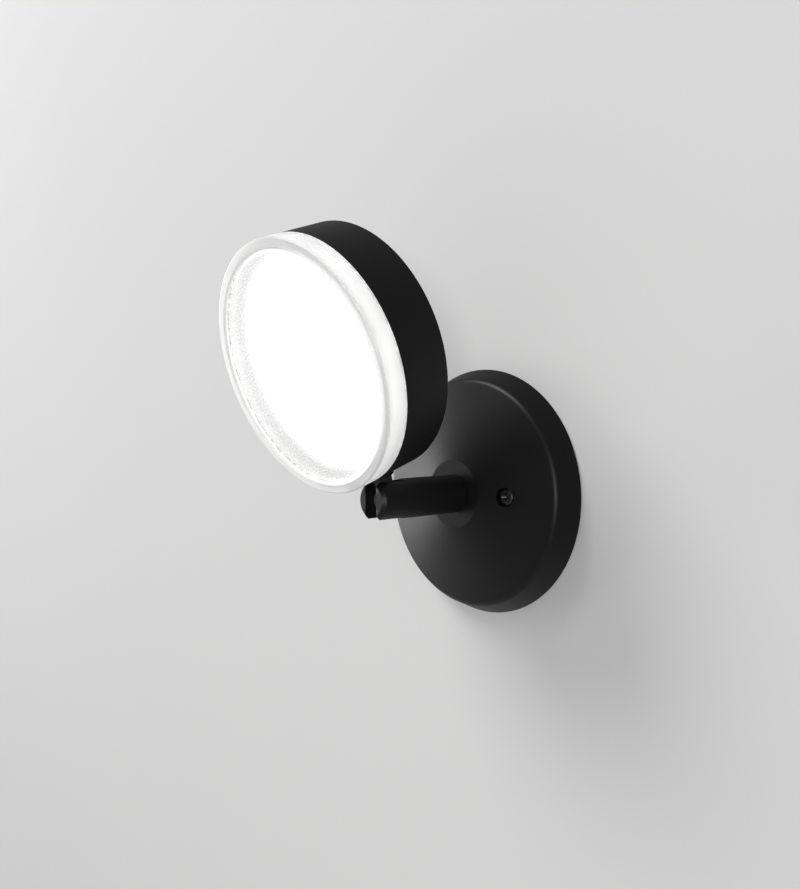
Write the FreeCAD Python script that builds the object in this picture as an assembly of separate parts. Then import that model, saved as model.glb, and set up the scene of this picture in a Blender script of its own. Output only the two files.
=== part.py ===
import FreeCAD, Part
import math
import os

# A wall spotlight: a domed round canopy on a hidden bracket, a short forked arm that swivels
# in the canopy, and a flat round LED head that tilts in the fork. Millimetres.
# World: the wall is Y = 0, the light stands out along -Y, +Z is up, X is to the right.
# Every piece is drawn in a local frame with x to the right, y up and z out of the wall
# (for the head: out of its lens, with the tilt pivot at the origin), then placed.

V = FreeCAD.Vector

# fits
thread_fit = 0.02
running_fit = 0.05
seat_fit = 0.02
free_gap = 0.3

# canopy
canopy_radius = 50.0
canopy_rise = 17.2
canopy_side = 8.2
canopy_side_draft = 24.0
canopy_edge_radius = 3.0
canopy_wall = 1.5
seat_radius = 13.6
canopy_screw_offset = 25.0
screw_well_radius = 3.7
screw_well_wall = 1.0
screw_well_depth = 3.0

# wall bracket and what it carries
bracket_thickness = 1.5
bracket_height = 78.0
bracket_width = 24.0
crossbar_length = 66.0
crossbar_width = 17.0
bracket_corner = 3.0
wall_slot_spacing = 60.0
wall_slot_length = 12.0
wall_slot_width = 4.6
wire_hole_radius = 8.5
screw_boss_radius = 4.0
screw_boss_height = 3.2
grommet_bore_radius = 3.75
grommet_lip = 1.4
grommet_lip_height = 0.8
terminal_length = 20.0
terminal_width = 11.0
terminal_height = 8.5
terminal_poles = 3
terminal_pitch = 6.4
terminal_screw_radius = 1.5
earth_screw_drop = 15.0
earth_tag_thickness = 0.8
earth_tag_radius = 4.2
earth_tag_tail = 9.0
earth_tag_tail_width = 3.0
earth_barrel_radius = 1.6
earth_barrel_length = 5.0
earth_barrel_overlap = 1.0

# screws
canopy_screw_radius = 2.0
canopy_screw_head_radius = 3.3
canopy_screw_head_height = 2.2
canopy_screw_length = 9.6
small_screw_radius = 1.25
small_screw_head_radius = 2.3
small_screw_head_height = 1.6

# swivel in the canopy
nipple_radius = 5.0
nipple_bore_radius = 3.6
nipple_grip = 8.8
bush_radius = 7.0
bush_flange_radius = 10.2
bush_flange_thickness = 1.5
foot_gap = 0.1
stop_washer_radius = 9.5
stop_washer_thickness = 1.0
stop_tab_reach = 12.6
stop_tab_width = 3.0
stop_pin_radius = 1.0
stop_pin_length = 3.6
stop_pin_seat = 0.7
spring_washer_radius = 8.2
spring_washer_height = 1.2
spring_washer_thickness = 0.7
lock_nut_flats = 14.0
lock_nut_thickness = 4.0
nipple_tail = 0.8

# arm
arm_radius = 7.6
arm_reach = 59.6
arm_chamfer = 1.3
arm_bore_radius = 4.0
fork_slot_width = 6.4
pivot_setback = 8.1

# tilt joint
rest_tilt = 19.2
back_tilt = 20.0
pivot_screw_radius = 2.0
pivot_head_radius = 3.4
pivot_head_height = 2.1
pivot_head_depth = 3.0
pivot_thread_depth = 3.0
knuckle_radius = 4.5
knuckle_thickness = 5.4
pivot_washer_radius = 3.9
neck_low_radius = 3.2
neck_radius = 3.9

# head
head_radius = 45.5
pivot_to_head = 12.1
head_depth = 19.2
head_back = 4.4
head_side_wall = 1.75
head_back_wall = 3.0
head_edge_radius = 0.6
stem_boss_radius = 5.0
stem_flare = 2.0
stem_block_width = 14.0
stem_block_front = 6.2
spigot_radius = 3.0
spigot_length = 8.6
stem_block_top_wall = 1.5
lead_bore_radius = 1.3
grub_radius = 1.5
grub_length = 3.0

# lens, diffuser and reflector
lens_proud = 8.2
lens_front_wall = 3.0
lens_rim_width = 3.3
lens_recess = 0.8
lens_edge_radius = 0.8
lens_spigot_wall = 2.0
lens_spigot_length = 4.4
gasket_height = 1.0
gasket_depth = 0.6
diffuser_thickness = 2.0
reflector_flange_width = 5.15
reflector_flare = 6.4
reflector_wall = 1.2
reflector_notch = 9.0

# light engine
thermal_pad_thickness = 0.3
board_thickness = 1.6
board_edge_gap = 0.4
chip_size = 3.0
chip_height = 0.8
chip_counts = (16, 12, 6)
chip_edge_margin = 4.0
chip_ring_pitch = 9.5
connector_clearance = 0.5576
board_screw_margin = 8.4
board_screw_depth = 1.8
driver_margin = 18.0
driver_size = 4.6
driver_height = 1.6
connector_width = 7.2
connector_length = 5.0
connector_height = 3.4

# leads
arm_lead_radius = 2.2
head_lead_radius = 0.9
head_lead_bend = 3.0
supply_lead_radius = 0.9
supply_lead_bend = 1.5
supply_lead_spread = 1.3

# places that follow from the sizes above
pivot_depth = arm_reach - pivot_setback
head_axis = pivot_to_head + head_radius
head_front = head_depth - head_back
head_inner_radius = head_radius - head_side_wall
head_floor = head_back_wall - head_back
lens_front = head_front + lens_proud
canopy_ceiling = canopy_rise - canopy_wall
slot_half = fork_slot_width / 2
board_top = head_floor + thermal_pad_thickness + board_thickness
spigot_bottom = head_front - lens_spigot_length
lead_rise = connector_height / 2
reflector_mouth_radius = head_inner_radius - reflector_flange_width
reflector_base_radius = reflector_mouth_radius - reflector_flare
board_radius = reflector_base_radius + reflector_wall - board_edge_gap
chip_circle = board_radius - chip_edge_margin
board_screw_circle = board_radius - board_screw_margin
driver_circle = board_radius - driver_margin

side_draft = math.radians(canopy_side_draft)
side_top_radius = canopy_radius - canopy_side * math.tan(side_draft)
edge_centre_radius = side_top_radius - canopy_edge_radius * math.cos(side_draft)
edge_centre_height = canopy_side - canopy_edge_radius * math.sin(side_draft)
to_edge_x = edge_centre_radius - seat_radius
to_edge_z = canopy_rise - edge_centre_height
dome_slope = math.atan2(to_edge_z, to_edge_x) - math.asin(
    canopy_edge_radius / math.hypot(to_edge_x, to_edge_z))


def dome_height(radius):
    """Height of the canopy's outer dome above the wall, between the seat and the rolled edge."""
    return canopy_rise - (radius - seat_radius) * math.tan(dome_slope)


def ear_sweep():
    """Furthest corner of the fork's ears from the tilt axis, beside the slot."""
    face_corner = math.hypot(pivot_setback, math.sqrt((arm_radius - arm_chamfer) ** 2 - slot_half ** 2))
    side_corner = math.hypot(pivot_setback - arm_chamfer, math.sqrt(arm_radius ** 2 - slot_half ** 2))
    return max(face_corner, side_corner)


boss_low = ear_sweep() + free_gap / 2
block_top = boss_low + spigot_length + stem_block_top_wall
lean = math.radians(back_tilt)
slot_back = arm_radius * math.tan(lean) + neck_radius / math.cos(lean) + free_gap


# ---- drawing helpers ----

def turned(start, *moves):
    """Solid of revolution about z. Each move is a (radius, height) point, or two for an arc."""
    edges = []
    here = V(start[0], 0, start[1])
    for move in moves + (start,):
        stops = move if isinstance(move[0], tuple) else (move,)
        stops = [V(radius, 0, height) for radius, height in stops]
        if len(stops) == 2:
            edges.append(Part.Arc(here, stops[0], stops[1]).toShape())
        else:
            edges.append(Part.LineSegment(here, stops[0]).toShape())
        here = stops[-1]
    return Part.Face(Part.Wire(edges)).revolve(V(0, 0, 0), V(0, 0, 1), 360)


def rod(radius, start, end):
    """Cylinder from one point to another."""
    run = V(*end) - V(*start)
    return Part.makeCylinder(radius, run.Length, V(*start), run)


def ring(outer, inner, low, high):
    """Tube about z."""
    return rod(outer, (0, 0, low), (0, 0, high)).cut(rod(inner, (0, 0, low), (0, 0, high)))


def slab(x, y, z):
    """Box from three (low, high) spans."""
    return Part.makeBox(x[1] - x[0], y[1] - y[0], z[1] - z[0], V(x[0], y[0], z[0]))


def around(radius, count, first=0.0):
    """Points evenly round a circle about z, the first at an angle in degrees."""
    angles = [math.radians(first + 360.0 * step / count) for step in range(count)]
    return [(radius * math.cos(angle), radius * math.sin(angle)) for angle in angles]


def moved(shape, x=0.0, y=0.0, z=0.0):
    copy = shape.copy()
    copy.translate(V(x, y, z))
    return copy


def joined(shapes):
    return shapes[0].multiFuse(shapes[1:]).removeSplitter()


def cross_recess(width, reach, depth):
    """Tapered cross for a screwdriver, its mouth at z = 0."""
    bars = joined([slab((-reach, reach), (-width / 2, width / 2), (-depth, 0)),
                   slab((-width / 2, width / 2), (-reach, reach), (-depth, 0))])
    return bars.common(Part.makeCone(0.9 * width, reach, depth, V(0, 0, -depth)))


def pan_screw(shank_radius, length, head_radius, head_height):
    """Cross-head screw along z, the underside of its head at z = 0."""
    crown = 0.4 * head_height
    tangent = crown * (1 - math.sqrt(0.5))
    head = turned((0, 0), (head_radius, 0), (head_radius, head_height - crown),
                  ((head_radius - tangent, head_height - tangent), (head_radius - crown, head_height)),
                  (0, head_height))
    shank = rod(shank_radius, (0, 0, -length), (0, 0, 0))
    recess = moved(cross_recess(0.3 * head_radius, 0.62 * head_radius, 0.6 * head_height), z=head_height)
    return joined([head, shank]).cut(recess)


def bent_lead(points, radius, bend):
    """Round lead along straight runs joined by tangent arcs."""
    points = [V(*point) for point in points]
    edges = []
    here = points[0]
    for before, corner, after in zip(points, points[1:], points[2:]):
        into, out = (corner - before).normalize(), (after - corner).normalize()
        half = math.acos(into.dot(out)) / 2
        start = corner - into * bend * math.tan(half)
        end = corner + out * bend * math.tan(half)
        middle = corner + (out - into).normalize() * bend * (1 / math.cos(half) - 1)
        edges += [Part.LineSegment(here, start).toShape(), Part.Arc(start, middle, end).toShape()]
        here = end
    edges.append(Part.LineSegment(here, points[-1]).toShape())
    mouth = Part.Wire(Part.Circle(points[0], points[1] - points[0], radius).toShape())
    return Part.Wire(edges).makePipeShell([mouth], True, False)


# ---- wall bracket and wiring ----

def wall_slot(height):
    """Upright slot for a wall screw."""
    half = (wall_slot_length - wall_slot_width) / 2
    radius = wall_slot_width / 2
    span = (-1, bracket_thickness + 1)
    ends = [rod(radius, (0, height + side * half, span[0]), (0, height + side * half, span[1]))
            for side in (-1, 1)]
    return joined(ends + [slab((-radius, radius), (height - half, height + half), span)])


def make_wall_bracket():
    plate = (0, bracket_thickness)
    upright = slab((-bracket_width / 2, bracket_width / 2), (-bracket_height / 2, bracket_height / 2), plate)
    crossbar = slab((-crossbar_length / 2, crossbar_length / 2),
                    (-crossbar_width / 2, crossbar_width / 2), plate)
    sides = (-canopy_screw_offset, canopy_screw_offset)
    top = bracket_thickness + screw_boss_height
    bosses = [rod(screw_boss_radius, (x, 0, 0), (x, 0, top)) for x in sides]
    blank = joined([upright, crossbar])
    corners = [edge for edge in blank.Edges if abs(edge.tangentAt(edge.FirstParameter).z) > 0.9]
    shape = joined([blank.makeFillet(bracket_corner, corners)] + bosses)
    cuts = [rod(canopy_screw_radius + thread_fit, (x, 0, -1), (x, 0, top + 1)) for x in sides]
    cuts += [wall_slot(side * wall_slot_spacing / 2) for side in (-1, 1)]
    cuts.append(rod(wire_hole_radius, (0, 0, -1), (0, 0, top)))
    cuts.append(rod(canopy_screw_radius + thread_fit, (0, -earth_screw_drop, -1), (0, -earth_screw_drop, top)))
    return shape.cut(cuts)


def make_cable_grommet():
    """Rubber ring that lines the bracket's wire hole; its lip lies on the plate."""
    lip_top = bracket_thickness + grommet_lip_height
    outer = wire_hole_radius - seat_fit
    return turned((grommet_bore_radius, 0), (outer, 0), (outer, bracket_thickness),
                  (wire_hole_radius + grommet_lip, bracket_thickness),
                  (wire_hole_radius + grommet_lip, lip_top), (grommet_bore_radius, lip_top))


terminal_low = wire_hole_radius + grommet_lip + free_gap
pole_places = [terminal_pitch * (pole - (terminal_poles - 1) / 2) for pole in range(terminal_poles)]
terminal_screw_rows = [terminal_low + terminal_width * share for share in (0.27, 0.73)]
terminal_top = bracket_thickness + terminal_height
wire_entry_height = bracket_thickness + 0.3 * terminal_height


def make_terminal_block():
    """Plastic connector strip with a wire entry each side of every pole and two screw wells."""
    shape = slab((-terminal_length / 2, terminal_length / 2), (terminal_low, terminal_low + terminal_width),
                 (bracket_thickness, terminal_top))
    well = terminal_screw_radius + seat_fit
    cuts = []
    for x in pole_places:
        cuts += [rod(well, (x, y, terminal_top - 0.5 * terminal_height), (x, y, terminal_top + 1))
                 for y in terminal_screw_rows]
        for face, inward in ((terminal_low, 1), (terminal_low + terminal_width, -1)):
            mouth = face + inward * 0.15 * terminal_width
            cuts.append(rod(1.2 * supply_lead_radius, (x, face - inward, wire_entry_height),
                            (x, mouth, wire_entry_height)))
    for x in pole_places[1:]:
        groove = x - terminal_pitch / 2
        cuts.append(slab((groove - 0.4, groove + 0.4), (0, terminal_low + terminal_width + 1),
                         (terminal_top - 0.25 * terminal_height, terminal_top + 1)))
    return shape.cut(cuts)


def make_terminal_screws():
    floor = terminal_top - 0.5 * terminal_height
    screws = []
    for x in pole_places:
        for y in terminal_screw_rows:
            screw = rod(terminal_screw_radius, (x, y, floor), (x, y, floor + 0.3 * terminal_height))
            kerf = slab((x - 0.3, x + 0.3), (y - 3, y + 3), (floor + 0.2 * terminal_height, terminal_top))
            screws.append(screw.cut(kerf))
    return Part.makeCompound(screws)


def make_earth_tag():
    """Ring tag under the earth screw, with a crimp barrel for the earth wire."""
    span = (bracket_thickness, bracket_thickness + earth_tag_thickness)
    place = -earth_screw_drop
    half = earth_tag_tail_width / 2
    eye = rod(earth_tag_radius, (0, place, span[0]), (0, place, span[1]))
    tail = slab((0, earth_tag_tail), (place - half, place + half), span)
    height = bracket_thickness + earth_barrel_radius
    barrel_start = earth_tag_tail - earth_barrel_overlap
    barrel_end = barrel_start + earth_barrel_length
    barrel = rod(earth_barrel_radius, (barrel_start, place, height), (barrel_end, place, height))
    wire_hole = rod(supply_lead_radius, (earth_tag_tail, place, height), (barrel_end + 1, place, height))
    hole = rod(canopy_screw_radius + thread_fit, (0, place, span[0] - 1), (0, place, span[1] + 1))
    return joined([eye, tail, barrel]).cut([hole, wire_hole])


def make_earth_screw():
    seat = bracket_thickness + earth_tag_thickness
    screw = pan_screw(canopy_screw_radius, seat - free_gap, canopy_screw_head_radius, canopy_screw_head_height)
    return moved(screw, y=-earth_screw_drop, z=seat)


def make_supply_leads():
    """Two leads from the terminal block to the mouth of the hollow nipple."""
    leads = []
    start_y = terminal_low + 0.15 * terminal_width
    for side, pole in ((-1, pole_places[0]), (1, pole_places[-1])):
        end_x = side * supply_lead_spread
        points = [(pole, start_y, wire_entry_height), (pole, start_y - 2.6, wire_entry_height),
                  (end_x, 0, wire_entry_height), (end_x, 0, nipple_low - free_gap)]
        leads.append(bent_lead(points, supply_lead_radius, supply_lead_bend))
    return Part.makeCompound(leads)


# ---- canopy ----

def dome_solid(shrink):
    """The dome's outside as a solid, or its inside where it is shrunk by the wall."""
    radius = canopy_edge_radius - shrink
    seat = seat_radius - shrink * math.tan(dome_slope / 2)
    lip = canopy_radius - shrink / math.cos(side_draft)
    dome_normal = math.pi / 2 - dome_slope
    low, middle, top = [(edge_centre_radius + radius * math.cos(angle), edge_centre_height + radius * math.sin(angle))
                        for angle in (side_draft, (side_draft + dome_normal) / 2, dome_normal)]
    return turned((0, 0), (lip, 0), low, (middle, top), (seat, canopy_rise - shrink), (0, canopy_rise - shrink))


well_floor = dome_height(canopy_screw_offset) - screw_well_depth


def make_canopy():
    outside = dome_solid(0)
    shell = outside.cut(dome_solid(canopy_wall))
    sides = (-canopy_screw_offset, canopy_screw_offset)
    outer = screw_well_radius + screw_well_wall
    wells = [rod(outer, (x, 0, well_floor - screw_well_wall), (x, 0, canopy_rise)).common(outside)
             for x in sides]
    cuts = [rod(screw_well_radius, (x, 0, well_floor), (x, 0, canopy_rise)) for x in sides]
    cuts += [rod(canopy_screw_radius + free_gap, (x, 0, 0), (x, 0, canopy_rise)) for x in sides]
    cuts.append(rod(bush_radius + seat_fit, (0, 0, 0), (0, 0, canopy_rise + 1)))
    cuts.append(rod(stop_pin_radius + seat_fit, (0, -stop_pin_circle, canopy_ceiling - 1),
                    (0, -stop_pin_circle, canopy_ceiling + stop_pin_seat)))
    return joined([shell] + wells).cut(cuts)


def make_canopy_screws():
    screw = pan_screw(canopy_screw_radius, canopy_screw_length,
                      canopy_screw_head_radius, canopy_screw_head_height)
    return Part.makeCompound([moved(screw, x=side * canopy_screw_offset, z=well_floor) for side in (-1, 1)])


# ---- swivel ----

bush_low = canopy_ceiling - bush_flange_thickness
washer_top = bush_low - running_fit
washer_low = washer_top - stop_washer_thickness
spring_low = washer_low - spring_washer_height
nut_low = spring_low - lock_nut_thickness
nipple_low = nut_low - nipple_tail
foot_depth = canopy_rise + foot_gap
nipple_top = foot_depth + nipple_grip
stop_pin_circle = bush_flange_radius + stop_pin_radius + free_gap
nipple_side = nipple_radius + thread_fit


def make_swivel_bush():
    """Flanged nylon bush in the canopy's hole, its flange inside."""
    bore = nipple_radius + running_fit
    return turned((bore, bush_low), (bush_flange_radius, bush_low), (bush_flange_radius, canopy_ceiling),
                  (bush_radius, canopy_ceiling), (bush_radius, canopy_rise), (bore, canopy_rise))


def make_stop_pin():
    top = canopy_ceiling + stop_pin_seat
    return rod(stop_pin_radius, (0, -stop_pin_circle, top - stop_pin_length), (0, -stop_pin_circle, top))


def make_stop_washer():
    """Turns with the nipple; its tab meets the stop pin at either end of the swivel."""
    disc = rod(stop_washer_radius, (0, 0, washer_low), (0, 0, washer_top))
    tab = slab((-stop_tab_width / 2, stop_tab_width / 2), (0, stop_tab_reach), (washer_low, washer_top))
    return joined([disc, tab]).cut(rod(nipple_side, (0, 0, washer_low - 1), (0, 0, washer_top + 1)))


def make_spring_washer():
    """Dished washer that keeps the swivel stiff."""
    return turned((nipple_side, spring_low), (nipple_side, spring_low + spring_washer_thickness),
                  (spring_washer_radius, washer_low), (spring_washer_radius, washer_low - spring_washer_thickness))


def make_lock_nut():
    corner = lock_nut_flats / math.sqrt(3)
    hexagon = [V(x, y, nut_low) for x, y in around(corner, 6)]
    body = Part.Face(Part.makePolygon(hexagon + hexagon[:1])).extrude(V(0, 0, lock_nut_thickness))
    return body.cut(rod(nipple_side, (0, 0, nut_low - 1), (0, 0, spring_low + 1)))


def make_nipple():
    return ring(nipple_radius, nipple_bore_radius, nipple_low, nipple_top)


# ---- arm ----

def make_arm():
    """Round bar, bored for the lead, tapped at its foot and slotted into a fork at its end."""
    chamfered = arm_radius - arm_chamfer
    bar = turned((0, foot_depth), (arm_radius, foot_depth), (arm_radius, arm_reach - arm_chamfer),
                 (chamfered, arm_reach), (0, arm_reach))
    slot_low = pivot_depth - slot_back
    cuts = [rod(nipple_side, (0, 0, foot_depth - 1), (0, 0, nipple_top + free_gap)),
            rod(arm_bore_radius, (0, 0, foot_depth), (0, 0, slot_low + 1)),
            slab((-slot_half, slot_half), (-arm_radius - 1, arm_radius + 1), (slot_low, arm_reach + 1)),
            rod(pivot_screw_radius + running_fit, (-arm_radius - 1, 0, pivot_depth), (0, 0, pivot_depth)),
            rod(pivot_head_radius + free_gap, (-arm_radius - 1, 0, pivot_depth),
                (pivot_head_depth - arm_radius, 0, pivot_depth)),
            rod(pivot_screw_radius + thread_fit, (0, 0, pivot_depth),
                (slot_half + pivot_thread_depth + free_gap, 0, pivot_depth))]
    return bar.cut(cuts)


def make_pivot_screw():
    """Enters the left ear, carries the knuckle and screws into the right ear."""
    seat = arm_radius - pivot_head_depth
    screw = pan_screw(pivot_screw_radius, seat + slot_half + pivot_thread_depth,
                      pivot_head_radius, pivot_head_height)
    screw.rotate(V(0, 0, 0), V(0, 1, 0), -90)
    return moved(screw, x=-seat, z=pivot_depth)


def make_pivot_washers():
    """Nylon washers that fill the slot each side of the knuckle."""
    thickness = (fork_slot_width - knuckle_thickness) / 2 - running_fit
    washers = []
    for inner, outer in ((slot_half - thickness, slot_half), (-slot_half, thickness - slot_half)):
        disc = rod(pivot_washer_radius, (inner, 0, pivot_depth), (outer, 0, pivot_depth))
        washers.append(disc.cut(rod(pivot_screw_radius + thread_fit, (inner - 1, 0, pivot_depth),
                                    (outer + 1, 0, pivot_depth))))
    return Part.makeCompound(washers)


def make_arm_lead():
    """Sheathed lead that lies along the nipple and the arm's bore."""
    height = arm_lead_radius + running_fit - nipple_bore_radius
    return rod(arm_lead_radius, (0, height, nipple_low), (0, height, pivot_depth - slot_back))


# ---- head: knuckle and housing ----

def make_knuckle():
    """Flat-sided tongue with a round end on the pivot and a spigot that screws into the housing."""
    half = knuckle_thickness / 2
    eye = rod(knuckle_radius, (-half, 0, 0), (half, 0, 0))
    neck = Part.makeCone(neck_low_radius, neck_radius, boss_low, V(0, 0, 0), V(0, 1, 0))
    neck = neck.common(slab((-half, half), (0, boss_low), (-neck_radius, neck_radius)))
    spigot = rod(spigot_radius, (0, boss_low, 0), (0, boss_low + spigot_length, 0))
    cuts = [rod(pivot_screw_radius + running_fit, (-half - 1, 0, 0), (half + 1, 0, 0)),
            rod(lead_bore_radius, lead_turn, (0, boss_low + spigot_length + 1, 0)),
            rod(lead_bore_radius, lead_entry, lead_turn),
            Part.makeSphere(lead_bore_radius, V(*lead_turn))]
    return joined([eye, neck, spigot]).cut(cuts)


lead_turn = (0, boss_low - 1.3, 0)
lead_entry = (0, boss_low - 1.3 - 1.2 * neck_radius, -neck_radius - 0.6)


def on_head_axis(shape):
    return moved(shape, y=head_axis)


def make_head_housing():
    """Cast cup with a thick back, and a boss and inner block for the knuckle's spigot."""
    back, front = -head_back, head_front
    tangent = head_edge_radius * (1 - math.sqrt(0.5))
    cup = turned((0, back), (head_radius - head_edge_radius, back),
                 ((head_radius - tangent, back + tangent), (head_radius, back + head_edge_radius)),
                 (head_radius, front), (head_inner_radius, front), (head_inner_radius, head_floor),
                 (0, head_floor))
    cup = on_head_axis(cup)
    inside = on_head_axis(rod(head_inner_radius, (0, 0, head_floor), (0, 0, front + 1)))
    disc = on_head_axis(rod(head_radius, (0, 0, back), (0, 0, front)))
    boss = rod(stem_boss_radius, (0, boss_low, 0), (0, block_top, 0))
    flare = Part.makeCone(stem_boss_radius, stem_boss_radius + stem_flare, stem_flare,
                          V(0, pivot_to_head - stem_flare / 2, 0), V(0, 1, 0))
    keep = slab((-head_radius, head_radius), (0, block_top), (back, front))
    outer_boss = joined([boss, flare]).common(keep).cut(inside)
    half = stem_block_width / 2
    block = slab((-half, half), (pivot_to_head, block_top), (back, stem_block_front)).common(disc)
    spigot_top = boss_low + spigot_length
    grub_height = boss_low + 0.62 * spigot_length
    cuts = [rod(spigot_radius + thread_fit, (0, 0, 0), (0, spigot_top + free_gap, 0)),
            rod(lead_bore_radius, (0, 0, 0), (0, block_top + 1, 0)),
            rod(grub_radius + thread_fit, (0, grub_height, 0), (0, grub_height, stem_block_front + 1))]
    for x, y in around(board_screw_circle, 3, 90):
        cuts.append(rod(small_screw_radius + thread_fit, (x, y + head_axis, head_floor - board_screw_depth),
                        (x, y + head_axis, head_floor + 1)))
    return joined([cup, outer_boss, block]).cut(cuts)


def make_stem_lock_screw():
    """Grub screw in the inner block that bears on the spigot."""
    height = boss_low + 0.62 * spigot_length
    tip = spigot_radius + seat_fit
    screw = rod(grub_radius, (0, height, tip), (0, height, tip + grub_length))
    corner = 0.55 * grub_radius
    socket = [V(x, y + height, tip + grub_length) for x, y in around(corner, 6)]
    return screw.cut(Part.Face(Part.makePolygon(socket + socket[:1])).extrude(V(0, 0, -0.5 * grub_length)))


# ---- head: light engine ----

def board_screw_holes(low, high):
    radius = small_screw_radius + seat_fit
    return [rod(radius, (x, y, low - 1), (x, y, high + 1)) for x, y in around(board_screw_circle, 3, 90)]


def make_thermal_pad():
    top = head_floor + thermal_pad_thickness
    pad = rod(board_radius - 1, (0, 0, head_floor), (0, 0, top))
    return on_head_axis(pad.cut(board_screw_holes(head_floor, top)))


def make_led_board():
    low = board_top - board_thickness
    board = rod(board_radius, (0, 0, low), (0, 0, board_top))
    return on_head_axis(board.cut(board_screw_holes(low, board_top)))


def outer_ring(radius, count, gap):
    """Points evenly along a circle that is open at the bottom, a gap in degrees to each side."""
    pitch = (360 - 2 * gap) / (count - 1)
    angles = [math.radians(gap + step * pitch - 90) for step in range(count)]
    return [(radius * math.cos(angle), radius * math.sin(angle)) for angle in angles]


def make_led_chips():
    """Rings of square LEDs; the outer ring leaves room for the lead's connector at the bottom."""
    half = chip_size / 2
    beside_connector = connector_width / 2 + connector_clearance + half
    places = outer_ring(chip_circle, chip_counts[0], math.degrees(math.asin(beside_connector / chip_circle)))
    for step, count in enumerate(chip_counts[1:], 1):
        places += around(chip_circle - step * chip_ring_pitch, count, -90 + 180.0 / count)
    chips = [slab((x - half, x + half), (y - half, y + half), (board_top, board_top + chip_height))
             for x, y in places]
    return on_head_axis(Part.makeCompound(chips))


def make_driver_chips():
    """Rectifier and regulators that let the board run on mains current."""
    half = driver_size / 2
    chips = [slab((x - half, x + half), (y - half, y + half), (board_top, board_top + driver_height))
             for x, y in around(driver_circle, 4)]
    return on_head_axis(Part.makeCompound(chips))


connector_low = head_axis - board_radius + 0.8


def make_lead_connector():
    half = connector_width / 2
    body = slab((-half, half), (connector_low, connector_low + connector_length),
                (board_top, board_top + connector_height))
    mouth = rod(head_lead_radius + thread_fit, (0, connector_low - 1, board_top + lead_rise),
                (0, connector_low + connector_length / 2, board_top + lead_rise))
    return body.cut(mouth)


def make_board_screws():
    screw = pan_screw(small_screw_radius, board_thickness + thermal_pad_thickness + 0.8 * board_screw_depth,
                      small_screw_head_radius, small_screw_head_height)
    return on_head_axis(Part.makeCompound([moved(screw, x, y, board_top)
                                           for x, y in around(board_screw_circle, 3, 90)]))


def make_head_lead():
    """Runs up the knuckle, out of the block and over the board's edge into the connector."""
    top = board_top + lead_rise
    points = [lead_entry, lead_turn, (0, block_top + 0.3, 0), (0, connector_low - 1.2, top),
              (0, connector_low + connector_length / 2, top)]
    return bent_lead(points, head_lead_radius, head_lead_bend)


# ---- head: reflector, diffuser and lens ----

def make_reflector():
    """White cone from the board to the diffuser, with a flange that the lens presses on."""
    top = spigot_bottom
    flange = top - reflector_wall
    outer = head_inner_radius - free_gap / 2
    cone = turned((reflector_base_radius, board_top), (reflector_base_radius + reflector_wall, board_top),
                  (reflector_mouth_radius + reflector_wall, flange), (outer, flange), (outer, top),
                  (reflector_mouth_radius, top))
    half = reflector_notch / 2
    notch = slab((-half, half), (-head_radius, -reflector_base_radius + 3),
                 (board_top - 1, board_top + connector_height + free_gap))
    return on_head_axis(cone.cut(notch))


spigot_outer_radius = head_inner_radius - free_gap / 2
spigot_inner_radius = spigot_outer_radius - lens_spigot_wall


def make_diffuser():
    radius = spigot_inner_radius - free_gap
    return on_head_axis(rod(radius, (0, 0, spigot_bottom), (0, 0, spigot_bottom + diffuser_thickness)))


gasket_low = spigot_bottom + (lens_spigot_length - gasket_height) / 2
gasket_inner_radius = spigot_outer_radius - gasket_depth


def make_lens_gasket():
    return on_head_axis(ring(head_inner_radius, gasket_inner_radius, gasket_low, gasket_low + gasket_height))


def make_lens():
    """Acrylic cap with a flat front rim, a sunk face inside it and a spigot that enters the cup."""
    edge = lens_edge_radius
    tangent = edge * (1 - math.sqrt(0.5))
    rim_inner = head_radius - lens_rim_width
    face = lens_front - lens_recess
    ceiling = face - lens_front_wall
    cap = turned((0, face), (rim_inner - lens_recess, face), (rim_inner, lens_front),
                 (head_radius - edge, lens_front),
                 ((head_radius - tangent, lens_front - tangent), (head_radius, lens_front - edge)),
                 (head_radius, head_front), (spigot_outer_radius, head_front),
                 (spigot_outer_radius, spigot_bottom), (spigot_inner_radius, spigot_bottom),
                 (spigot_inner_radius, ceiling), (0, ceiling))
    groove = ring(head_radius, gasket_inner_radius, gasket_low, gasket_low + gasket_height)
    return on_head_axis(cap.cut(groove))


# ---- placing and saving ----

on_wall = FreeCAD.Placement(V(0, 0, 0), FreeCAD.Rotation(V(1, 0, 0), 90))
on_pivot = FreeCAD.Placement(V(0, -pivot_depth, 0), FreeCAD.Rotation(V(1, 0, 0), 90 + rest_tilt))

wall_pieces = {
    "wall_bracket": make_wall_bracket,
    "cable_grommet": make_cable_grommet,
    "terminal_block": make_terminal_block,
    "terminal_screws": make_terminal_screws,
    "earth_tag": make_earth_tag,
    "earth_screw": make_earth_screw,
    "supply_leads": make_supply_leads,
    "canopy": make_canopy,
    "canopy_screws": make_canopy_screws,
    "swivel_bush": make_swivel_bush,
    "stop_pin": make_stop_pin,
    "stop_washer": make_stop_washer,
    "spring_washer": make_spring_washer,
    "lock_nut": make_lock_nut,
    "threaded_nipple": make_nipple,
    "arm": make_arm,
    "pivot_screw": make_pivot_screw,
    "pivot_washers": make_pivot_washers,
    "arm_lead": make_arm_lead,
}
head_pieces = {
    "knuckle": make_knuckle,
    "head_housing": make_head_housing,
    "stem_lock_screw": make_stem_lock_screw,
    "thermal_pad": make_thermal_pad,
    "led_board": make_led_board,
    "led_chips": make_led_chips,
    "driver_chips": make_driver_chips,
    "lead_connector": make_lead_connector,
    "board_screws": make_board_screws,
    "head_lead": make_head_lead,
    "reflector": make_reflector,
    "diffuser": make_diffuser,
    "lens_gasket": make_lens_gasket,
    "lens": make_lens,
}

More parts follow.
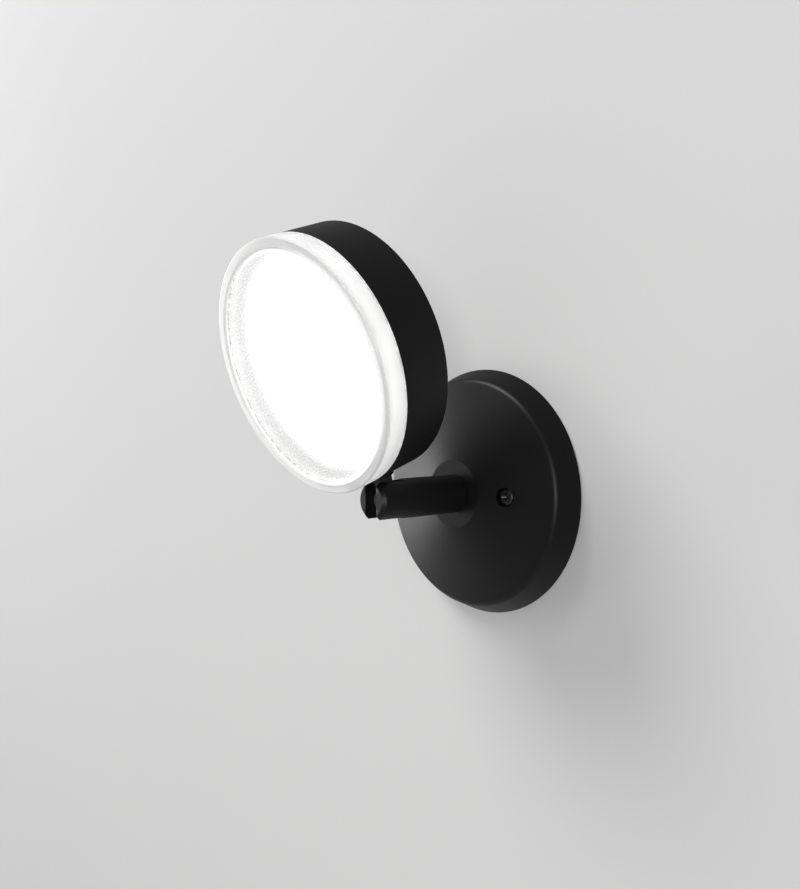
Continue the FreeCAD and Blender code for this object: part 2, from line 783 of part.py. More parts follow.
os.makedirs("parts", exist_ok=True)
for pieces, placement in ((wall_pieces, on_wall), (head_pieces, on_pivot)):
    for name, make in pieces.items():
        shape = make()
        shape.Placement = placement.multiply(shape.Placement)
        shape.exportStep(f"parts/{name}.step")
        print(name, "solids", len(shape.Solids), "valid", shape.isValid(), "volume", round(shape.Volume, 1))
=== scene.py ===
import math

import bmesh
import bpy
from mathutils import Euler, Matrix, Vector


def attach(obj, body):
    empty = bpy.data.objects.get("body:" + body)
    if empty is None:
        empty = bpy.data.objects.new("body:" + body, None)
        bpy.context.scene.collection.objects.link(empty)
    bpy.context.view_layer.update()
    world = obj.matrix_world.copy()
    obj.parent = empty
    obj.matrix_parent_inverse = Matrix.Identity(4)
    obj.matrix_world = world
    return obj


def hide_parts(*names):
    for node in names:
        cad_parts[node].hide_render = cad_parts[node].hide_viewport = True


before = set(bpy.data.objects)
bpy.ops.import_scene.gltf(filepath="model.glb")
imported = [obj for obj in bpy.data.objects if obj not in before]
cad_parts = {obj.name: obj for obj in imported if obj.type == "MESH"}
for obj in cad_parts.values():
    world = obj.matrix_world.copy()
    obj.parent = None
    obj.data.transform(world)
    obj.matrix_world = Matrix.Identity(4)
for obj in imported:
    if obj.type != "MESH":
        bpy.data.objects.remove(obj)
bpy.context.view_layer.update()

# Camera. It stands to the right of the wall light and hardly above it, close enough for a
# strong perspective.
camera_place = (0.24408, -0.25809, 0.03234)
camera_turn, camera_drop, camera_roll = 48.91, 2.10, -0.30

camera = bpy.data.objects.new("camera", bpy.data.cameras.new("camera"))
bpy.context.collection.objects.link(camera)
camera.data.lens = 34.69
camera.data.clip_start = 0.01
aim = Euler((math.radians(90 - camera_drop), 0, math.radians(camera_turn))).to_matrix()
aim = aim @ Matrix.Rotation(math.radians(camera_roll), 3, "Z")
camera.matrix_world = Matrix.LocRotScale(Vector(camera_place), aim, None)
bpy.context.scene.camera = camera
bpy.context.scene.view_settings.view_transform = "Standard"


# Room. A pale plastered wall right behind the light and a pale floor 1.5 m below it. The wall
# is seen from its front only, so that the back of the light can be looked at as well.
class Wire:
    """A socket in a node tree. Sums and products of it add Math nodes, node() adds any other."""

    def __init__(self, socket):
        self.socket = socket
        self.tree = socket.id_data

    def node(self, kind, settings, inputs, output=0):
        """Adds a node: first its settings, then the values or links of its inputs."""
        made = self.tree.nodes.new("ShaderNode" + kind)
        for name, value in settings.items():
            if name == "stops":
                ramp = made.color_ramp
                for stop in value[2:]:
                    ramp.elements.new(stop[0])
                for element, (place, shade) in zip(ramp.elements, value):
                    element.position = place
                    element.color = (shade, shade, shade, 1)
            else:
                setattr(made, name, value)
        for name, value in inputs.items():
            if isinstance(value, Wire):
                self.tree.links.new(value.socket, made.inputs[name])
            else:
                made.inputs[name].default_value = value
        return Wire(made.outputs[output])

    def maths(self, operation, *values):
        return self.node("Math", {"operation": operation}, dict(enumerate(values)))

    def __add__(self, other):
        return self.maths("ADD", self, other)

    def __sub__(self, other):
        return self.maths("SUBTRACT", self, other)

    def __rsub__(self, other):
        return self.maths("SUBTRACT", other, self)

    def __mul__(self, other):
        return self.maths("MULTIPLY", self, other)

    __radd__ = __add__
    __rmul__ = __mul__


def new_finish(name, plain):
    """Material whose shader has these plain values, and the place on the surface in metres."""
    material = bpy.data.materials.new(name)
    material.use_nodes = True
    shader = material.node_tree.nodes["Principled BSDF"]
    for socket, value in plain.items():
        shader.inputs[socket].default_value = value
    place = material.node_tree.nodes.new("ShaderNodeTexCoord").outputs["Object"]
    return material, Wire(place)


def wire_up(material, varying):
    """Feeds the shader's sockets that change over the surface."""
    shader = material.node_tree.nodes["Principled BSDF"]
    for socket, wire in varying.items():
        material.node_tree.links.new(wire.socket, shader.inputs[socket])


def noise(place, size, detail=2.0, roughness=0.5):
    """Cloudy grain from 0 to 1, its lumps about this size in metres."""
    return place.node("TexNoise", {}, {"Vector": place, "Scale": 1 / size, "Detail": detail,
                                       "Roughness": roughness})


def between(mask, low, high):
    """Colour that goes from low to high with the mask."""
    return mask.node("Mix", {"data_type": "RGBA"}, {0: mask, 6: (*low, 1), 7: (*high, 1)}, 2)


def relief(height, depth, strength=1.0):
    """Bump of this depth in metres."""
    return height.node("Bump", {}, {"Strength": strength, "Distance": depth, "Height": height})


def sheet_of_room(name, corners, material):
    mesh = bpy.data.meshes.new(name)
    mesh.from_pydata(corners, [], [(0, 1, 2, 3)])
    mesh.materials.append(material)
    made = bpy.data.objects.new(name, mesh)
    bpy.context.collection.objects.link(made)
    return made


wall_gap, wall_top, floor_height, room_half = 0.0005, 3.0, -1.5, 3.0
plaster, place = new_finish("pale plaster", {"Roughness": 0.9, "Specular IOR Level": 0.2})
patches = noise(place, 0.4, 3.0)
wire_up(plaster, {"Base Color": between(patches, (0.60, 0.60, 0.595), (0.64, 0.64, 0.63)),
                  "Normal": relief(noise(place, 0.004, 4.0), 0.0001, 0.3)})
tree = plaster.node_tree
see_through = tree.nodes.new("ShaderNodeBsdfTransparent")
from_behind = tree.nodes.new("ShaderNodeNewGeometry")
one_sided = tree.nodes.new("ShaderNodeMixShader")
tree.links.new(from_behind.outputs["Backfacing"], one_sided.inputs[0])
tree.links.new(tree.nodes["Principled BSDF"].outputs[0], one_sided.inputs[1])
tree.links.new(see_through.outputs[0], one_sided.inputs[2])
tree.links.new(one_sided.outputs[0], tree.nodes["Material Output"].inputs["Surface"])
wall = sheet_of_room("room_wall",
                     [(-room_half, wall_gap, floor_height), (room_half, wall_gap, floor_height),
                      (room_half, wall_gap, wall_top), (-room_half, wall_gap, wall_top)], plaster)
wall.visible_diffuse = wall.visible_glossy = wall.visible_transmission = wall.visible_shadow = False

screed, place = new_finish("pale floor", {"Roughness": 0.8, "Specular IOR Level": 0.2})
patches = noise(place, 0.3, 3.0)
wire_up(screed, {"Base Color": between(patches, (0.62, 0.61, 0.60), (0.67, 0.66, 0.65))})
sheet_of_room("room_floor",
              [(-room_half, -room_half, floor_height), (room_half, -room_half, floor_height),
               (room_half, room_half, floor_height), (-room_half, room_half, floor_height)], screed)


# Studio light. A tall soft lamp on the left grazes the wall and gives the canopy its bright
# flank, a small one beside the camera draws its crest, one above lights the room, and a weak
# one behind the wall shows the back.
lamps_aim = Vector((0, -0.04, 0))


def soft_lamp(name, place, width, height, watts):
    """Oval lamp of this size in metres, turned to the middle of the light."""
    lamp = bpy.data.objects.new(name, bpy.data.lights.new(name, "AREA"))
    lamp.data.shape = "ELLIPSE"
    lamp.data.size, lamp.data.size_y = width, height
    lamp.data.energy = watts
    lamp.location = place
    lamp.rotation_euler = (lamps_aim - Vector(place)).to_track_quat("-Z", "Y").to_euler()
    bpy.context.collection.objects.link(lamp)


soft_lamp("lamp_left", (-3.1, -0.78, 0.05), 1.3, 2.3, 50)
soft_lamp("lamp_front", (1.35, -1.5, 0.05), 0.5, 0.5, 14)
soft_lamp("lamp_above", (-0.8, -1.3, 1.7), 1.0, 1.0, 36)
soft_lamp("lamp_behind", (0.0, 1.6, 0.2), 0.9, 0.9, 6)

world = bpy.data.worlds.new("pale_room")
world.use_nodes = True
world.node_tree.nodes["Background"].inputs["Color"].default_value = (0.95, 0.96, 1.0, 1)
world.node_tree.nodes["Background"].inputs["Strength"].default_value = 0.3
bpy.context.scene.world = world


# Wall bracket, with the earth screw and tag. A pressed steel cross, zinc plated, that two wall
# screws hold through its slots; the canopy's screws go into its bosses.
mm = 0.001
on_wall = Matrix(((1, 0, 0, 0), (0, 0, -1, 0), (0, 1, 0, 0), (0, 0, 0, 1)))
smooth_below, weld_gap, bevel_steps = math.radians(32), 0.002, 2


def eased_mesh(name):
    """Node group that shades a mesh smooth, except across its edges."""
    group = bpy.data.node_groups.new(name, "GeometryNodeTree")
    group.interface.new_socket("Mesh", in_out="INPUT", socket_type="NodeSocketGeometry")
    group.interface.new_socket("Mesh", in_out="OUTPUT", socket_type="NodeSocketGeometry")
    ends = [group.nodes.new("NodeGroupInput"), group.nodes.new("NodeGroupOutput")]
    faces = group.nodes.new("GeometryNodeSetShadeSmooth")
    edges = group.nodes.new("GeometryNodeSetShadeSmooth")
    edges.domain = "EDGE"
    edges.inputs["Shade Smooth"].default_value = False
    bend = group.nodes.new("GeometryNodeInputMeshEdgeAngle")
    sharp = group.nodes.new("FunctionNodeCompare")
    sharp.inputs[1].default_value = smooth_below
    group.links.new(bend.outputs["Unsigned Angle"], sharp.inputs[0])
    group.links.new(sharp.outputs[0], edges.inputs["Selection"])
    group.links.new(ends[0].outputs[0], faces.inputs[0])
    group.links.new(faces.outputs[0], edges.inputs[0])
    group.links.new(edges.outputs[0], ends[1].inputs[0])
    return group


smooth_shading = eased_mesh("smooth_shading")


def ease_edges(piece, radius=0.0):
    """Rounds the edges of a mesh by this radius in mm, or not at all, and shades the rest smooth."""
    weld = piece.modifiers.new("weld", "WELD")
    weld.merge_threshold = weld_gap * mm
    if radius:
        bevel = piece.modifiers.new("edges", "BEVEL")
        bevel.width = radius * mm
        bevel.segments = bevel_steps
        bevel.limit_method = "ANGLE"
        bevel.angle_limit = smooth_below
    piece.modifiers.new("shading", "NODES").node_group = smooth_shading
    piece.modifiers.new("flat_faces", "WEIGHTED_NORMAL").keep_sharp = True


def dress(nodes, material, radius=0.0):
    """Gives solids that keep their shape a material and softened edges."""
    for name in nodes:
        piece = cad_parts[name]
        for held in piece.material_slots:
            held.material = material
        ease_edges(piece, radius)


zinc, place = new_finish("zinc plate", {"Metallic": 1.0})
spangle = place.node("TexVoronoi", {"feature": "F1"},
                     {"Vector": place, "Scale": 420.0, "Randomness": 1.0}, 1)
spangle = spangle.node("RGBToBW", {}, {0: spangle})
scuffs = noise(place, 0.0015, 6.0, 0.65)
wire_up(zinc, {"Base Color": between(spangle * 0.6 + scuffs * 0.4,
                                     (0.46, 0.47, 0.49), (0.68, 0.69, 0.71)),
               "Roughness": spangle * 0.10 + scuffs * 0.16 + 0.26,
               "Normal": relief(scuffs, 0.00002, 0.4)})
dress(["wall_bracket"], zinc, 0.15)
dress(["earth_screw", "stop_pin", "stop_washer", "spring_washer", "lock_nut", "threaded_nipple"],
      zinc, 0.06)
dress(["stem_lock_screw", "board_screws"], zinc)

brass, place = new_finish("brass", {"Metallic": 1.0})
tarnish = noise(place, 0.002, 4.0)
wire_up(brass, {"Base Color": between(tarnish, (0.52, 0.36, 0.13), (0.78, 0.58, 0.26)),
                "Roughness": 0.42 - tarnish * 0.2,
                "Normal": relief(noise(place, 0.0004), 0.00001, 0.3)})
dress(["earth_tag", "terminal_screws"], brass, 0.05)

# Cable grommet. A soft black rubber ring pressed into the bracket's wire hole; the mains cable
# comes through it.
rubber, place = new_finish("black rubber", {"Specular IOR Level": 0.35})
bloom = noise(place, 0.0012, 5.0, 0.6)
wire_up(rubber, {"Base Color": between(bloom, (0.012, 0.012, 0.013), (0.035, 0.034, 0.034)),
                 "Roughness": bloom * 0.2 + 0.6,
                 "Normal": relief(bloom, 0.00003, 0.4)})
dress(["cable_grommet"], rubber, 0.2)

# Terminal block and the connector on the board. Both are moulded in natural polyamide, a
# little cloudy and satin; the block sits on the bracket.
polyamide, place = new_finish("natural polyamide", {})
cloud = noise(place, 0.003, 3.0)
wire_up(polyamide, {"Base Color": between(cloud, (0.66, 0.65, 0.60), (0.78, 0.77, 0.73)),
                    "Roughness": cloud * 0.1 + 0.38,
                    "Normal": relief(noise(place, 0.0003), 0.00001, 0.3)})
dress(["terminal_block", "lead_connector"], polyamide, 0.12)


# Leads. Solid copper in coloured plastic from the terminals to the nipple, a grey sheathed lead
# along the arm and a white one into the head.
def sheath(name, low, high):
    material, place = new_finish(name, {"Specular IOR Level": 0.45})
    drawn = noise(place, 0.0009, 3.0)
    wire_up(material, {"Base Color": between(drawn, low, high),
                       "Roughness": drawn * 0.14 + 0.34,
                       "Normal": relief(drawn, 0.00002, 0.3)})
    return material


dress(["supply_leads"], sheath("brown sheath", (0.10, 0.035, 0.015), (0.16, 0.060, 0.028)), 0.05)
dress(["arm_lead"], sheath("grey sheath", (0.20, 0.20, 0.20), (0.28, 0.28, 0.28)), 0.1)
dress(["head_lead"], sheath("white sheath", (0.66, 0.66, 0.64), (0.76, 0.76, 0.74)), 0.05)


# Canopy. Pressed from sheet steel to a shallow cone with a flat seat in its middle, a rounded
# crest and a side that flares to the wall, powder coated in fine matt black. Two screws sit in
# wells left and right of the seat.
canopy_radius, canopy_rise, canopy_side, side_draft = 50.0, 17.2, 8.2, math.radians(24)
crest_radius, canopy_wall, seat_radius, bush_hole_radius = 3.0, 1.5, 13.6, 7.02
screw_offset, screw_hole_radius = 25.0, 2.3
well_radius, well_wall, well_depth, well_collar = 3.7, 1.0, 3.0, 2.2
seat_blend, seat_dip = 0.25, 0.012
past = 1.0  # how far a cutter reaches past the surface that it opens
crest_centre = (canopy_radius - canopy_side * math.tan(side_draft)
                - crest_radius * math.cos(side_draft),
                canopy_side - crest_radius * math.sin(side_draft))
rise, run = canopy_rise - crest_centre[1], crest_centre[0] - seat_radius
dome_slope = math.atan2(rise, run) - math.asin(crest_radius / math.hypot(run, rise))


def arc(centre, radius, start, end, steps):
    """Points along an arc, its angles in degrees."""
    angles = [math.radians(start + (end - start) * step / steps) for step in range(steps + 1)]
    return [(centre[0] + radius * math.cos(angle), centre[1] + radius * math.sin(angle))
            for angle in angles]


def along(start, end, steps):
    """Points from start to end, both included."""
    return [tuple(a + (b - a) * step / steps for a, b in zip(start, end)) for step in range(steps + 1)]


def new_piece(name, mesh):
    made = bpy.data.objects.new(name, mesh)
    bpy.context.collection.objects.link(made)
    return made


def lathe(name, outline, steps, turn=Matrix()):
    """Solid turned about its z axis from a closed outline of (radius, height) points in mm."""
    shape = bmesh.new()
    rings = []
    for radius, height in outline:
        count = steps if radius else 1
        angles = [2 * math.pi * step / count for step in range(count)]
        ring = [Vector((radius * math.cos(angle), radius * math.sin(angle), height)) for angle in angles]
        rings.append([shape.verts.new(turn @ point * mm) for point in ring])
    for low, high in zip(rings, rings[1:] + rings[:1]):
        if len(low) == len(high) == 1:
            continue
        for step in range(steps):
            corners = [low[step % len(low)], low[(step + 1) % len(low)],
                       high[(step + 1) % len(high)], high[step % len(high)]]
            shape.faces.new(list(dict.fromkeys(corners)))
    bmesh.ops.recalc_face_normals(shape, faces=shape.faces)
    mesh = bpy.data.meshes.new(name)
    shape.to_mesh(mesh)
    shape.free()
    return new_piece(name, mesh)


def drill(radius, start, end, steps=64):
    """Round cutter from one point to another, in mm."""
    run = Vector(end) - Vector(start)
    turn = Matrix.Translation(start) @ run.to_track_quat("Z", "Y").to_matrix().to_4x4()
    return lathe("cutter", [(0, 0), (radius, 0), (radius, run.length), (0, run.length)], steps, turn)


def carve(piece, cutter, operation="DIFFERENCE"):
    """Cuts a piece with another mesh, or joins the two, and drops the other."""
    change = piece.modifiers.new("carve", "BOOLEAN")
    change.operation, change.object, change.solver = operation, cutter, "EXACT"
    shaped = piece.evaluated_get(bpy.context.evaluated_depsgraph_get())
    piece.data = bpy.data.meshes.new_from_object(shaped)
    piece.modifiers.clear()
    bpy.data.objects.remove(cutter)


def fit(piece, where, body, slot, material, *nodes):
    """Puts a finished piece in its place on its body, where it stands for these solids."""
    piece.matrix_world = where
    piece.data.materials.clear()
    piece.data.materials.append(material)
    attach(piece, body)
    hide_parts(*nodes)


def dome_outline(shrink):
    """Canopy from the bush hole to its lip, moved inwards by this much."""
    seat = seat_radius - shrink * math.tan(dome_slope / 2)
    top = canopy_rise - shrink
    crest = arc(crest_centre, crest_radius - shrink, 90 - math.degrees(dome_slope),
                math.degrees(side_draft), 12)
    flank = along((seat + seat_blend, top - seat_blend * math.tan(dome_slope)), crest[0], 18)
    lip = (canopy_radius - shrink / math.cos(side_draft), 0)
    seat_edge = [(seat - seat_blend, top), (seat, top - seat_dip)]
    return [(bush_hole_radius, top)] + seat_edge + flank[:-1] + crest + along(crest[-1], lip, 6)[1:]


def powder_coat(name, tone):
    """Matt black powder coat: fine orange peel, a faint speckle and a slightly uneven gloss."""
    material, place = new_finish(name, {"Specular IOR Level": 0.25, "IOR": 1.5})
    peel = noise(place, 0.0007, 3.0, 0.55)
    grain = noise(place, 0.00018, 2.0, 0.6)
    speck = grain.node("ValToRGB", {"stops": ((0.66, 0.0), (0.80, 1.0))}, {0: grain})
    drift = noise(place, 0.02, 2.0)
    dark, light = [tuple(share * part for part in tone) for share in (0.7, 1.7)]
    wire_up(material, {"Base Color": between(speck * 0.7 + peel * 0.3, dark, light),
                       "Roughness": drift * 0.06 + peel * 0.10 + 0.34,
                       "Normal": relief(peel * 0.7 + grain * 0.3, 0.00003, 0.45)})
    return material


canopy = lathe("canopy_shell", dome_outline(0.0) + dome_outline(canopy_wall)[::-1], 240)
well_floor = canopy_rise - (screw_offset - seat_radius) * math.tan(dome_slope) - well_depth
for side in (-1, 1):
    x = side * screw_offset
    carve(canopy, drill(well_radius + well_wall, (x, 0, well_floor - well_wall),
                        (x, 0, well_floor + well_collar)), "UNION")
    carve(canopy, drill(well_radius, (x, 0, well_floor), (x, 0, canopy_rise + past), 96))
    carve(canopy, drill(screw_hole_radius, (x, 0, 0), (x, 0, canopy_rise)))
ease_edges(canopy, 0.25)
fit(canopy, on_wall, "wall_mount", "coated_canopy",
    powder_coat("black coat of the canopy", (0.0042, 0.0042, 0.0043)), "canopy")

# Screws. Cross-head screws blackened in hot oxide: two in the canopy's wells and one through the
# fork.
oxide, place = new_finish("black oxide", {"Metallic": 0.85})
oil = noise(place, 0.0008, 4.0)
wire_up(oxide, {"Base Color": between(oil, (0.030, 0.030, 0.032), (0.075, 0.074, 0.074)),
                "Roughness": oil * 0.18 + 0.30,
                "Normal": relief(noise(place, 0.0003), 0.00001, 0.4)})
dress(["canopy_screws", "pivot_screw"], oxide, 0.06)

# Bush and washers. Turned from white nylon: the bush carries the arm's swivel in the canopy, the
# washers keep the knuckle off the fork.
nylon, place = new_finish("white nylon", {"Specular IOR Level": 0.5})
turning = noise(place, 0.0008, 3.0)
wire_up(nylon, {"Base Color": between(turning, (0.62, 0.61, 0.57), (0.72, 0.71, 0.68)),
                "Roughness": turning * 0.12 + 0.36,
                "Normal": relief(turning, 0.00001, 0.4)})
dress(["swivel_bush", "pivot_washers"], nylon, 0.05)

# Arm. A length of round bar with a chamfered end, slotted into a fork and coated like the
# canopy; a hollow nipple holds its foot to the canopy's seat.
arm_radius, arm_reach, arm_foot, arm_chamfer, arm_bore = 7.6, 59.6, 17.3, 1.3, 4.0
slot_half, slot_low, pivot_depth = 3.2, 44.284, 51.5
screw_head_seat, screw_head_clearance, screw_clearance, screw_tip_depth = 4.6, 3.7, 2.05, 3.3
bore_roof = slot_low + past


def block(x, y, z):
    """Square cutter or block from three (low, high) spans in mm."""
    shape = bmesh.new()
    bmesh.ops.create_cube(shape, size=1.0)
    for corner in shape.verts:
        corner.co = [(low if part < 0 else high) * mm
                     for part, (low, high) in zip(corner.co, (x, y, z))]
    mesh = bpy.data.meshes.new("cutter")
    shape.to_mesh(mesh)
    shape.free()
    return new_piece("cutter", mesh)


arm = lathe("arm_bar", [(arm_bore, arm_foot), (arm_radius, arm_foot),
                        (arm_radius, arm_reach - arm_chamfer), (arm_radius - arm_chamfer, arm_reach),
                        (0, arm_reach), (0, bore_roof), (arm_bore, bore_roof)], 144)
carve(arm, block((-slot_half, slot_half), (-arm_radius - past, arm_radius + past),
                 (slot_low, arm_reach + past)))
carve(arm, drill(screw_clearance, (-arm_radius - past, 0, pivot_depth),
                 (slot_half + screw_tip_depth, 0, pivot_depth)))
carve(arm, drill(screw_head_clearance, (-arm_radius - past, 0, pivot_depth),
                 (-screw_head_seat, 0, pivot_depth)))
ease_edges(arm, 0.22)
# The arm's coat is painted lighter than the canopy's: painted light on the bar.
fit(arm, on_wall, "arm", "coated_arm",
    powder_coat("black coat of the arm", (0.0075, 0.0075, 0.0076)), "arm")

# Knuckle. A machined steel tongue, blackened, whose round end turns on the pivot screw between
# the fork's ears and is painted lighter there, as painted light in the dim slot; its neck goes up
# into the head's collar.
rest_tilt = 19.2
on_pivot = Matrix.Translation((0, -pivot_depth * mm, 0))
on_pivot = on_pivot @ Matrix.Rotation(math.radians(90 + rest_tilt), 4, "X")
eye_radius, tongue_half, neck_low_radius, neck_radius = 4.5, 2.7, 3.2, 3.9
collar_low, spigot_radius, spigot_length = 9.9, 3.0, 8.6
lead_bore, bore_turn, bore_mouth = 1.3, collar_low - 1.3, 0.6
across = Matrix.Rotation(math.radians(90), 4, "Y")
upward = Matrix.Rotation(math.radians(-90), 4, "X")

knuckle = lathe("knuckle_tongue", [(0, -tongue_half), (eye_radius, -tongue_half),
                                   (eye_radius, tongue_half), (0, tongue_half)], 96, across)
neck = lathe("neck", [(0, 0), (neck_low_radius, 0), (neck_radius, collar_low), (0, collar_low)],
             96, upward)
for side in (-1, 1):
    spans = sorted((side * tongue_half, side * 2 * neck_radius))
    carve(neck, block(spans, (-past, collar_low + past), (-neck_radius - past, neck_radius + past)))
carve(knuckle, neck, "UNION")
carve(knuckle, drill(spigot_radius, (0, collar_low - past, 0),
                     (0, collar_low + spigot_length, 0)), "UNION")
carve(knuckle, drill(screw_clearance, (-tongue_half - past, 0, 0), (tongue_half + past, 0, 0)))
carve(knuckle, drill(lead_bore, (0, bore_turn, 0), (0, collar_low + spigot_length + past, 0), 32))
carve(knuckle, drill(lead_bore, (0, bore_turn - 1.2 * neck_radius, -neck_radius - bore_mouth),
                     (0, bore_turn, 0), 32))
ease_edges(knuckle, 0.22)
blackened, place = new_finish("blackened steel", {"Metallic": 0.3})
oil = noise(place, 0.0012, 5.0)
above_pivot = place.node("SeparateXYZ", {}, {0: place}, 1)
# The round end below the neck is painted lighter: painted light that stands in for light falling into
# the fork's slot.
slot_light_ends, slot_light_full = 6.0, 4.0
painted_slot_light = above_pivot.node("MapRange", {}, {0: above_pivot, 1: slot_light_ends * mm, 2: slot_light_full * mm})
wire_up(blackened, {"Base Color": between(painted_slot_light * (oil * 0.4 + 0.7) + oil * 0.1,
                                          (0.014, 0.014, 0.015), (0.110, 0.110, 0.112)),
                    "Roughness": oil * 0.16 + 0.36,
                    "Normal": relief(noise(place, 0.0004, 3.0), 0.00001, 0.4)})
fit(knuckle, on_pivot, "head", "black_steel", blackened, "knuckle")

# Head housing. A die-cast aluminium cup with a flared collar at its lowest point for the
# knuckle's spigot, coated in the same matt black.
head_radius, head_axis, head_back, head_front = 45.5, 57.6, -4.4, 14.8
side_wall, head_floor, head_edge, mouth_edge, back_middle = 1.75, -1.4, 0.6, 0.15, 8.0
collar_radius, flare_radius, flare_low, flare_high = 5.0, 7.0, 10.7, 13.1
block_half, block_top, block_front, block_inset = 7.0, 20.0, 6.2, 1.2
bore_fit, bore_end, collar_hidden, behind_head = 0.02, 0.3, 2.0, 10.0
on_head = on_pivot @ Matrix.Translation((0, head_axis * mm, 0))
down_to_pivot = Matrix.Translation((0, -head_axis, 0))

inner = head_radius - side_wall
housing = lathe("head_cup", [(0, head_back)]
                + along((back_middle, head_back), (head_radius - head_edge, head_back), 5)
                + arc((head_radius - head_edge, head_back + head_edge), head_edge, -90, 0, 6)[1:]
                + along((head_radius, head_back + head_edge),
                        (head_radius, head_front - mouth_edge), 4)[1:]
                + [(head_radius - mouth_edge, head_front), (inner, head_front), (inner, head_floor),
                   (0, head_floor)], 240)
flare = arc((flare_radius, flare_low), flare_radius - collar_radius, 180, 90, 8)
collar = lathe("collar", [(0, collar_low), (collar_radius, collar_low)] + flare
               + [(flare_radius, flare_high + collar_hidden), (0, flare_high + collar_hidden)], 96,
               down_to_pivot @ upward)
carve(collar, block((-behind_head, behind_head),
                    (collar_low - head_axis - past, flare_high - head_axis + collar_hidden + past),
                    (head_back - behind_head, head_back)))
carve(housing, collar, "UNION")
carve(housing, block((-block_half, block_half), (-head_radius + block_inset, block_top - head_axis),
                     (head_floor - past, block_front)), "UNION")
carve(housing, drill(spigot_radius + bore_fit, (0, collar_low - head_axis - past, 0),
                     (0, collar_low + spigot_length + bore_end - head_axis, 0)))
ease_edges(housing, 0.12)
fit(housing, on_head, "head", "coated_head",
    powder_coat("black coat of the head", (0.0050, 0.0050, 0.0051)), "head_housing")

# Light engine. A round aluminium-core board with white solder resist on a grey thermal pad, with
# rings of LEDs under yellow phosphor and four small driver chips.
pad, place = new_finish("thermal pad", {"Roughness": 0.8})
wire_up(pad, {"Base Color": between(noise(place, 0.0006, 3.0), (0.20, 0.21, 0.22), (0.30, 0.31, 0.32))})
dress(["thermal_pad"], pad)

resist, place = new_finish("white solder resist", {"Specular IOR Level": 0.5})
weave = noise(place, 0.001, 3.0)
wire_up(resist, {"Base Color": between(weave, (0.72, 0.72, 0.70), (0.80, 0.80, 0.78)),
                 "Roughness": weave * 0.1 + 0.3})
dress(["led_board"], resist)

phosphor, place = new_finish("yellow phosphor", {"Emission Strength": 1.0})
gel = noise(place, 0.0008, 2.0)
wire_up(phosphor, {"Base Color": between(gel, (0.78, 0.60, 0.10), (0.86, 0.72, 0.22)),
                   "Roughness": gel * 0.2 + 0.35,
                   "Emission Color": between(gel, (1.0, 0.94, 0.80), (1.0, 0.98, 0.90))})
dress(["led_chips"], phosphor, 0.1)

epoxy, place = new_finish("black epoxy", {"Specular IOR Level": 0.4})
filler = noise(place, 0.0005, 3.0)
wire_up(epoxy, {"Base Color": between(filler, (0.010, 0.010, 0.010), (0.030, 0.030, 0.030)),
                "Roughness": filler * 0.2 + 0.45})
dress(["driver_chips"], epoxy, 0.1)

# Reflector. A cone moulded in white polycarbonate that stands on the board, turns its light
# outwards and carries the diffuser on its mouth.
gloss_white, place = new_finish("white reflector", {"Specular IOR Level": 0.5})
mould = noise(place, 0.002, 3.0)
wire_up(gloss_white, {"Base Color": between(mould, (0.82, 0.82, 0.81), (0.88, 0.88, 0.87)),
                      "Roughness": mould * 0.1 + 0.3})
dress(["reflector"], gloss_white)

# Diffuser. An opal acrylic disc that the board lights from behind; it glows evenly as far as the
# reflector's mouth and is dimmer under the lens's spigot.
reflector_mouth, glow_edge = 38.6, 1.6


def from_axis(place):
    """Distance from the head's axis in metres, for a place in the head's own frame."""
    flat = place.node("VectorMath", {"operation": "MULTIPLY"}, {0: place, 1: (1, 1, 0)})
    return flat.node("VectorMath", {"operation": "LENGTH"}, {0: flat}, 1)


opal, place = new_finish("opal diffuser", {"Roughness": 0.5, "Emission Strength": 0.9})
on_disc = place.node("Mapping", {"vector_type": "TEXTURE"},
                     {0: place, 1: on_head.to_translation(), 2: on_head.to_euler()})
out_from_axis = from_axis(on_disc)
lit = out_from_axis.node("MapRange", {"interpolation_type": "SMOOTHSTEP"},
                         {0: out_from_axis, 1: (reflector_mouth + glow_edge) * mm,
                          2: (reflector_mouth - glow_edge) * mm})
wire_up(opal, {"Base Color": between(noise(place, 0.001), (0.80, 0.80, 0.79), (0.86, 0.86, 0.85)),
               "Emission Color": between(lit, (0.42, 0.42, 0.42), (1.0, 1.0, 1.0))})
dress(["diffuser"], opal)

# Lens gasket. A clear silicone ring that lies in a groove round the lens's spigot and is
# squeezed against the inside of the cup.
silicone, place = new_finish("clear silicone", {"Transmission Weight": 0.6, "IOR": 1.41})
haze = noise(place, 0.001, 2.0)
wire_up(silicone, {"Base Color": between(haze, (0.80, 0.80, 0.79), (0.88, 0.88, 0.87)),
                   "Roughness": haze * 0.2 + 0.3})
dress(["lens_gasket"], silicone)

# Lens. A cap turned from thick acrylic, pushed into the cup, with a flat rim round its sunk
# face. The face is frosted; the rim and the side are ground, and all of them carry a painted glow.
lens_front, lens_recess, rim_width, lens_edge, seam_edge, face_middle = 23.0, 0.8, 3.3, 0.8, 0.1, 6.0
lens_ceiling, spigot_low, spigot_outer, spigot_inner = 19.2, 10.4, 43.6, 41.6
groove_low, groove_high, groove_radius = 12.1, 13.1, 43.0
face = lens_front - lens_recess
rim_inner = head_radius - rim_width
lens = lathe("lens_cap", [(0, face)] + along((face_middle, face), (rim_inner - lens_recess, face), 6)
             + [(rim_inner, lens_front), (head_radius - lens_edge, lens_front)]
             + arc((head_radius - lens_edge, lens_front - lens_edge), lens_edge, 90, 0, 8)[1:]
             + [(head_radius, head_front + seam_edge), (head_radius - seam_edge, head_front),
                (spigot_outer, head_front), (spigot_outer, groove_high), (groove_radius, groove_high),
                (groove_radius, groove_low), (spigot_outer, groove_low), (spigot_outer, spigot_low),
                (spigot_inner, spigot_low), (spigot_inner, lens_ceiling), (0, lens_ceiling)], 360)
ease_edges(lens)
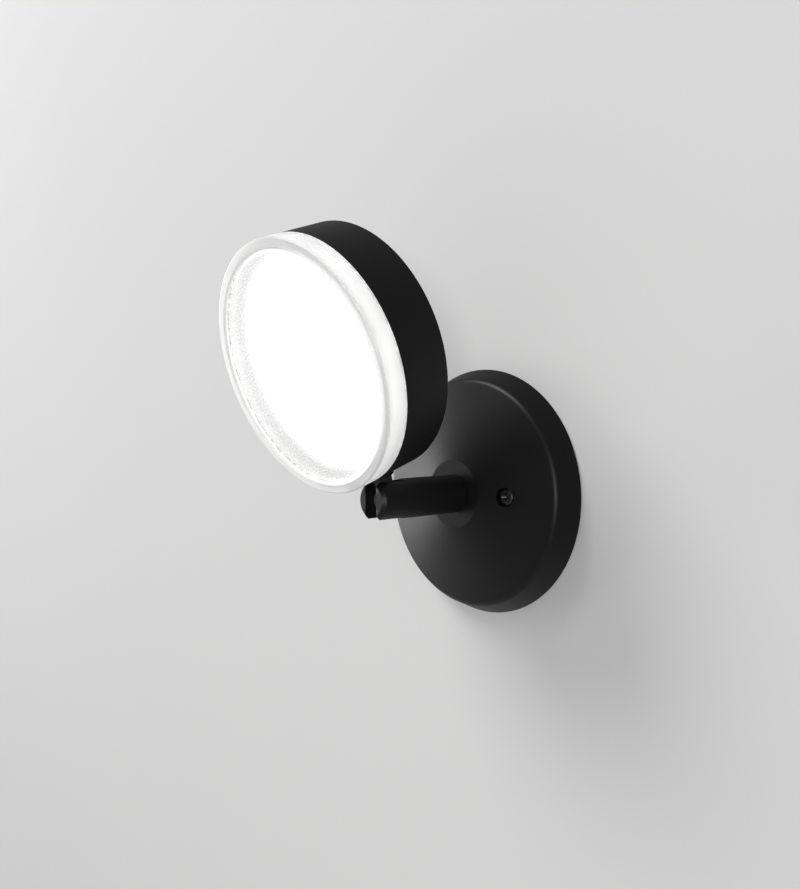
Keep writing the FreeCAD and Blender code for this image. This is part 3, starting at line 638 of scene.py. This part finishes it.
frosted, place = new_finish("frosted acrylic", {"Transmission Weight": 0.8, "IOR": 1.49,
                                                "Emission Strength": 1.0})
frost = noise(place, 0.0006, 3.0, 0.7)
grain = noise(place, 0.00025, 2.0, 0.6)
height = place.node("SeparateXYZ", {}, {0: place}, 2)
skin, edge_glow_starts, edge_glow_full = 0.4, 2.6, 1.4
front = height.node("MapRange", {}, {0: height, 1: (lens_ceiling + skin) * mm, 2: (face - skin) * mm})
out_from_axis = from_axis(place)
at_edge = out_from_axis.node("MapRange", {}, {0: out_from_axis, 1: (rim_inner - edge_glow_starts) * mm,
                                              2: (rim_inner - edge_glow_full) * mm})
# The face's glow is painted: emission in the frosted pattern, brighter towards the rim, standing in for
# the diffuser's light scattered in the acrylic.
painted_glow = frost * 0.44 + grain * 0.18 + at_edge * 0.24 - 0.11
wire_up(frosted, {"Base Color": between(frost, (0.82, 0.82, 0.82), (0.98, 0.98, 0.98)),
                  "Roughness": frost * 0.12 + 0.20,
                  "Emission Color": between(front * painted_glow, (0.0, 0.0, 0.0), (1.0, 1.0, 0.99)),
                  "Normal": relief(frost, 0.00002, 0.35)})
fit(lens, on_head, "head", "frosted_acrylic", frosted, "lens")

ground, place = new_finish("ground edge of the acrylic", {"Transmission Weight": 0.4, "IOR": 1.49,
                                                          "Emission Strength": 1.0})
frost = noise(place, 0.0005, 3.0, 0.7)
cloud = noise(place, 0.009, 2.0)
height = place.node("SeparateXYZ", {}, {0: place}, 2)
on_rim = height.node("MapRange", {}, {0: height, 1: (face + 0.05) * mm, 2: (face + 0.25) * mm})
# The side's and rim's glow is painted: emission in cloudy patches, dimmer on the rim, standing in for
# light scattered through the acrylic.
painted_glow = ((1 - on_rim) * (cloud * 0.24 + 0.18) + on_rim * 0.06) * (frost * 1.8 + 0.1)
wire_up(ground, {"Base Color": between(frost, (0.66, 0.66, 0.65), (1.0, 1.0, 0.99)),
                 "Roughness": frost * 0.12 + 0.34,
                 "Emission Color": between(painted_glow, (0.0, 0.0, 0.0), (1.0, 1.0, 0.99)),
                 "Normal": relief(frost, 0.00002, 0.35)})
lens.data.materials.append(ground)
for patch in lens.data.polygons:
    middle = patch.center / mm
    if middle.z > face + seam_edge or (middle.xy.length > rim_inner and middle.z > head_front):
        patch.material_index = 1
